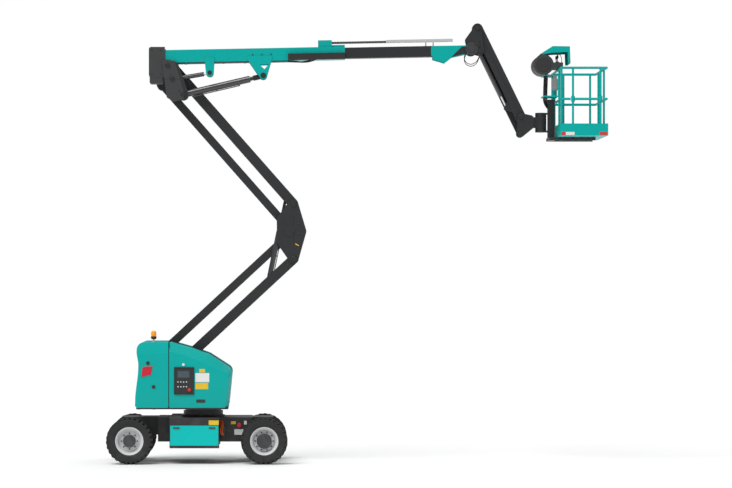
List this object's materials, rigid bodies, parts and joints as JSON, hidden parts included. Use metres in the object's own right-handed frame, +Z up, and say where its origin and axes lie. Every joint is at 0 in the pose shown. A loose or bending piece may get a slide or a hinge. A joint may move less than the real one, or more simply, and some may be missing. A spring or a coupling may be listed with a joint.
{
  "type": "articulating boom lift",
  "caption": "Self-propelled electric articulating boom lift: slewing turntable, parallel-link riser, telescopic boom with levelled jib and a rotating work platform.",
  "frame": {"origin": "on the floor under the middle of the overall length, on the slew centre line", "axes": "+X forward along the boom towards the platform, +Y to the far side, +Z up"},
  "size_m": [7.9873, 1.74, 7.0794],
  "materials": {
    "teal_paint": "gloss",
    "charcoal_paint": "satin",
    "black_paint": "satin",
    "rim_paint": "gloss",
    "tyre_rubber": "matte",
    "cast_weight": "satin",
    "amber_lens": "gloss",
    "black_plastic": "matte",
    "charcoal_plastic": "matte",
    "chrome_rod": "polished",
    "alloy": "satin"
  },
  "bodies": {
    "chassis": {"chassis_frame": "charcoal_paint", "steer_axle": "charcoal_paint", "drive_axle": "charcoal_paint", "battery_box_near": "teal_paint", "battery_box_far": "teal_paint", "slew_ring": "black_paint"},
    "steer_near": {"steer_knuckle_near": "black_paint"},
    "steer_far": {"steer_knuckle_far": "black_paint"},
    "wheel_steer_near": {"rim_steer_near": "rim_paint", "tyre_steer_near": "tyre_rubber"},
    "wheel_steer_far": {"rim_steer_far": "rim_paint", "tyre_steer_far": "tyre_rubber"},
    "wheel_drive_near": {"rim_drive_near": "rim_paint", "tyre_drive_near": "tyre_rubber"},
    "wheel_drive_far": {"rim_drive_far": "rim_paint", "tyre_drive_far": "tyre_rubber"},
    "turntable": {"turntable_frame": "charcoal_paint", "tail_cover": "teal_paint", "counterweight": "cast_weight", "beacon": "amber_lens"},
    "hood_near": {"hood_near": "teal_paint", "control_panel": "black_plastic"},
    "hood_far": {"hood_far": "teal_paint"},
    "lower_arm": {"lower_arm": "charcoal_paint"},
    "lower_link": {"lower_link": "charcoal_paint"},
    "riser_knuckle": {"riser_knuckle": "charcoal_paint"},
    "upper_arm": {"upper_arm": "charcoal_paint"},
    "upper_link": {"upper_link": "charcoal_paint"},
    "riser_head": {"riser_head": "charcoal_paint", "head_cover": "charcoal_plastic"},
    "riser_barrel": {"riser_cylinder": "charcoal_paint"},
    "riser_rod": {"riser_rod": "chrome_rod"},
    "main_boom": {"outer_boom": "teal_paint", "boom_tray": "black_plastic", "chain_guide": "black_paint"},
    "lift_barrel": {"lift_cylinder": "black_paint"},
    "lift_rod": {"lift_rod": "chrome_rod"},
    "level_barrel": {"level_cylinder": "black_paint"},
    "level_rod": {"level_rod": "chrome_rod"},
    "inner_boom": {"inner_boom": "black_paint", "boom_nose": "teal_paint", "chain_tray": "alloy", "chain_run": "black_plastic"},
    "chain_loop": {"chain_loop": "black_plastic"},
    "jib_knuckle": {"jib_knuckle": "charcoal_paint"},
    "jib_arm": {"jib_arm": "charcoal_paint"},
    "jib_link": {"jib_link": "charcoal_paint"},
    "jib_barrel": {"jib_cylinder": "black_paint"},
    "jib_rod": {"jib_rod": "chrome_rod"},
    "platform_bracket": {"platform_bracket": "charcoal_paint"},
    "platform": {"platform_support": "black_paint", "platform_floor": "teal_paint", "rails_near": "teal_paint", "rails_far": "teal_paint", "rails_front": "teal_paint", "rails_rear": "teal_paint", "console": "charcoal_plastic", "console_guard": "teal_paint"},
    "platform_gate": {"platform_gate": "teal_paint"}
  },
  "joints": [
    {"name": "steer_near_turn", "type": "hinge", "parent": "chassis", "child": "steer_near", "pos_m": [-3.62119, -0.555, 0.3725], "axis": [0, 0, 1], "range_deg": [-35, 35]},
    {"name": "steer_far_turn", "type": "hinge", "parent": "chassis", "child": "steer_far", "pos_m": [-3.62119, 0.555, 0.3725], "axis": [0, 0, 1], "range_deg": [-36, 36]},
    {"name": "wheel_steer_near_spin", "type": "hinge", "parent": "steer_near", "child": "wheel_steer_near", "pos_m": [-3.62119, -0.745, 0.3725], "axis": [0, 1, 0], "continuous": true},
    {"name": "wheel_steer_far_spin", "type": "hinge", "parent": "steer_far", "child": "wheel_steer_far", "pos_m": [-3.62119, 0.745, 0.3725], "axis": [0, 1, 0], "continuous": true},
    {"name": "wheel_drive_near_spin", "type": "hinge", "parent": "chassis", "child": "wheel_drive_near", "pos_m": [-1.47619, -0.745, 0.3725], "axis": [0, 1, 0], "continuous": true},
    {"name": "wheel_drive_far_spin", "type": "hinge", "parent": "chassis", "child": "wheel_drive_far", "pos_m": [-1.47619, 0.745, 0.3725], "axis": [0, 1, 0], "continuous": true},
    {"name": "slew", "type": "hinge", "parent": "chassis", "child": "turntable", "pos_m": [-2.46119, 0, 0.86], "axis": [0, 0, 1], "range_deg": [-177.5, 177.5]},
    {"name": "hood_near_open", "type": "hinge", "parent": "turntable", "child": "hood_near", "pos_m": [-2.98719, -0.86, 1.4], "axis": [0, 0, -1], "range_deg": [0, 85]},
    {"name": "hood_far_open", "type": "hinge", "parent": "turntable", "child": "hood_far", "pos_m": [-2.98719, 0.86, 1.4], "axis": [0, 0, 1], "range_deg": [0, 85]},
    {"name": "riser_raise", "type": "hinge", "parent": "turntable", "child": "lower_arm", "pos_m": [-3.14319, 0.12, 1.293], "axis": [0, -1, 0], "range_deg": [-41, 21]},
    {"name": "lower_link_swing", "type": "hinge", "parent": "turntable", "child": "lower_link", "pos_m": [-3.33719, 0.171, 1.576], "axis": [0, -1, 0], "range_deg": [-42, 22]},
    {"name": "knuckle_level", "type": "hinge", "parent": "lower_arm", "child": "riser_knuckle", "pos_m": [-0.99556, 0.12, 3.28172], "axis": [0, -1, 0], "range_deg": [-22, 42]},
    {"name": "upper_arm_raise", "type": "hinge", "parent": "riser_knuckle", "child": "upper_arm", "pos_m": [-1.00356, 0.12, 4.17572], "axis": [0, 1, 0], "range_deg": [-46.1, 24.1]},
    {"name": "upper_link_swing", "type": "hinge", "parent": "riser_knuckle", "child": "upper_link", "pos_m": [-1.19356, 0.171, 3.91372], "axis": [0, 1, 0], "range_deg": [-46.1, 24.1]},
    {"name": "head_level", "type": "hinge", "parent": "upper_arm", "child": "riser_head", "pos_m": [-2.93922, 0.12, 6.3713], "axis": [0, -1, 0], "range_deg": [-46.1, 24.1]},
    {"name": "riser_barrel_swing", "type": "hinge", "parent": "lower_arm", "child": "riser_barrel", "pos_m": [-1.40645, 0.078, 2.90124], "axis": [0, -1, 0], "range_deg": [-16.68, 31.61]},
    {"name": "riser_rod_slide", "type": "slide", "parent": "riser_barrel", "child": "riser_rod", "axis": [0.2018, 0, 0.9794], "range_m": [-0.4037, 0.2092]},
    {"name": "boom_lift", "type": "hinge", "parent": "riser_head", "child": "main_boom", "pos_m": [-3.03622, -0.115, 6.3963], "axis": [0, -1, 0], "range_deg": [-4, 70]},
    {"name": "lift_barrel_swing", "type": "hinge", "parent": "riser_head", "child": "lift_barrel", "pos_m": [-2.78522, -0.115, 5.9343], "axis": [0, -1, 0], "range_deg": [-4.79, 67.35]},
    {"name": "lift_rod_slide", "type": "slide", "parent": "lift_barrel", "child": "lift_rod", "axis": [0.9739, 0, 0.227], "range_m": [-0.0397, 0.6117]},
    {"name": "level_barrel_swing", "type": "hinge", "parent": "riser_head", "child": "level_barrel", "pos_m": [-2.95922, -0.115, 6.1813], "axis": [0, -1, 0], "range_deg": [-4.71, 65.85]},
    {"name": "level_rod_slide", "type": "slide", "parent": "level_barrel", "child": "level_rod", "axis": [0.9866, 0, 0.1631], "range_m": [-0.0198, 0.2644]},
    {"name": "telescope", "type": "slide", "parent": "main_boom", "child": "inner_boom", "axis": [0.9998, 0, 0.0192], "range_m": [-1.25, 0.5]},
    {"name": "chain_follow", "type": "slide", "parent": "main_boom", "child": "chain_loop", "axis": [0.9998, 0, 0.0192], "range_m": [-0.63, 0.26]},
    {"name": "jib_knuckle_level", "type": "hinge", "parent": "inner_boom", "child": "jib_knuckle", "pos_m": [1.86955, -0.115, 6.66353], "axis": [0, -1, 0], "range_deg": [-71, 5]},
    {"name": "jib_raise", "type": "hinge", "parent": "jib_knuckle", "child": "jib_arm", "pos_m": [1.96655, -0.115, 6.99553], "axis": [0, -1, 0], "range_deg": [-2, 95]},
    {"name": "jib_link_swing", "type": "hinge", "parent": "jib_knuckle", "child": "jib_link", "pos_m": [1.96655, -0.115, 6.72853], "axis": [0, -1, 0], "range_deg": [-3, 96]},
    {"name": "bracket_level", "type": "hinge", "parent": "jib_arm", "child": "platform_bracket", "pos_m": [2.66269, -0.115, 5.56824], "axis": [0, -1, 0], "range_deg": [-96, 3]},
    {"name": "jib_barrel_swing", "type": "hinge", "parent": "jib_knuckle", "child": "jib_barrel", "pos_m": [2.00655, -0.115, 6.62353], "axis": [0, -1, 0], "range_deg": [-3.29, 109.72]},
    {"name": "jib_rod_slide", "type": "slide", "parent": "jib_barrel", "child": "jib_rod", "axis": [0.4376, 0, -0.8992], "range_m": [-0.0155, 0.5022]},
    {"name": "platform_rotate", "type": "hinge", "parent": "platform_bracket", "child": "platform", "pos_m": [2.99269, -0.115, 5.48024], "axis": [0, 0, 1], "range_deg": [-90, 90]},
    {"name": "gate_lift", "type": "slide", "parent": "platform", "child": "platform_gate", "axis": [0, 0, 1], "range_m": [0, 0.4]}
  ],
  "couplings": [
    {"joint": "steer_far_turn", "follows": "steer_near_turn", "ratio": 1},
    {"joint": "lower_link_swing", "follows": "riser_raise", "ratio": 1},
    {"joint": "knuckle_level", "follows": "riser_raise", "ratio": -1},
    {"joint": "upper_arm_raise", "follows": "riser_raise", "ratio": 1.1},
    {"joint": "upper_link_swing", "follows": "riser_raise", "ratio": 1.1},
    {"joint": "head_level", "follows": "riser_raise", "ratio": 1.1},
    {"joint": "riser_barrel_swing", "follows": "riser_raise", "ratio": -0.7465},
    {"joint": "riser_rod_slide", "follows": "riser_raise", "m_per_rad": 0.5572},
    {"joint": "lift_barrel_swing", "follows": "boom_lift", "ratio": 0.9478},
    {"joint": "lift_rod_slide", "follows": "boom_lift", "m_per_rad": 0.4966},
    {"joint": "level_barrel_swing", "follows": "boom_lift", "ratio": 0.9264},
    {"joint": "level_rod_slide", "follows": "boom_lift", "m_per_rad": 0.2123},
    {"joint": "chain_follow", "follows": "telescope", "ratio": 0.5},
    {"joint": "jib_knuckle_level", "follows": "boom_lift", "ratio": -1},
    {"joint": "jib_link_swing", "follows": "jib_raise", "ratio": 1},
    {"joint": "bracket_level", "follows": "jib_raise", "ratio": -1},
    {"joint": "jib_barrel_swing", "follows": "jib_raise", "ratio": 1.1444},
    {"joint": "jib_rod_slide", "follows": "jib_raise", "m_per_rad": 0.29988}
  ]
}
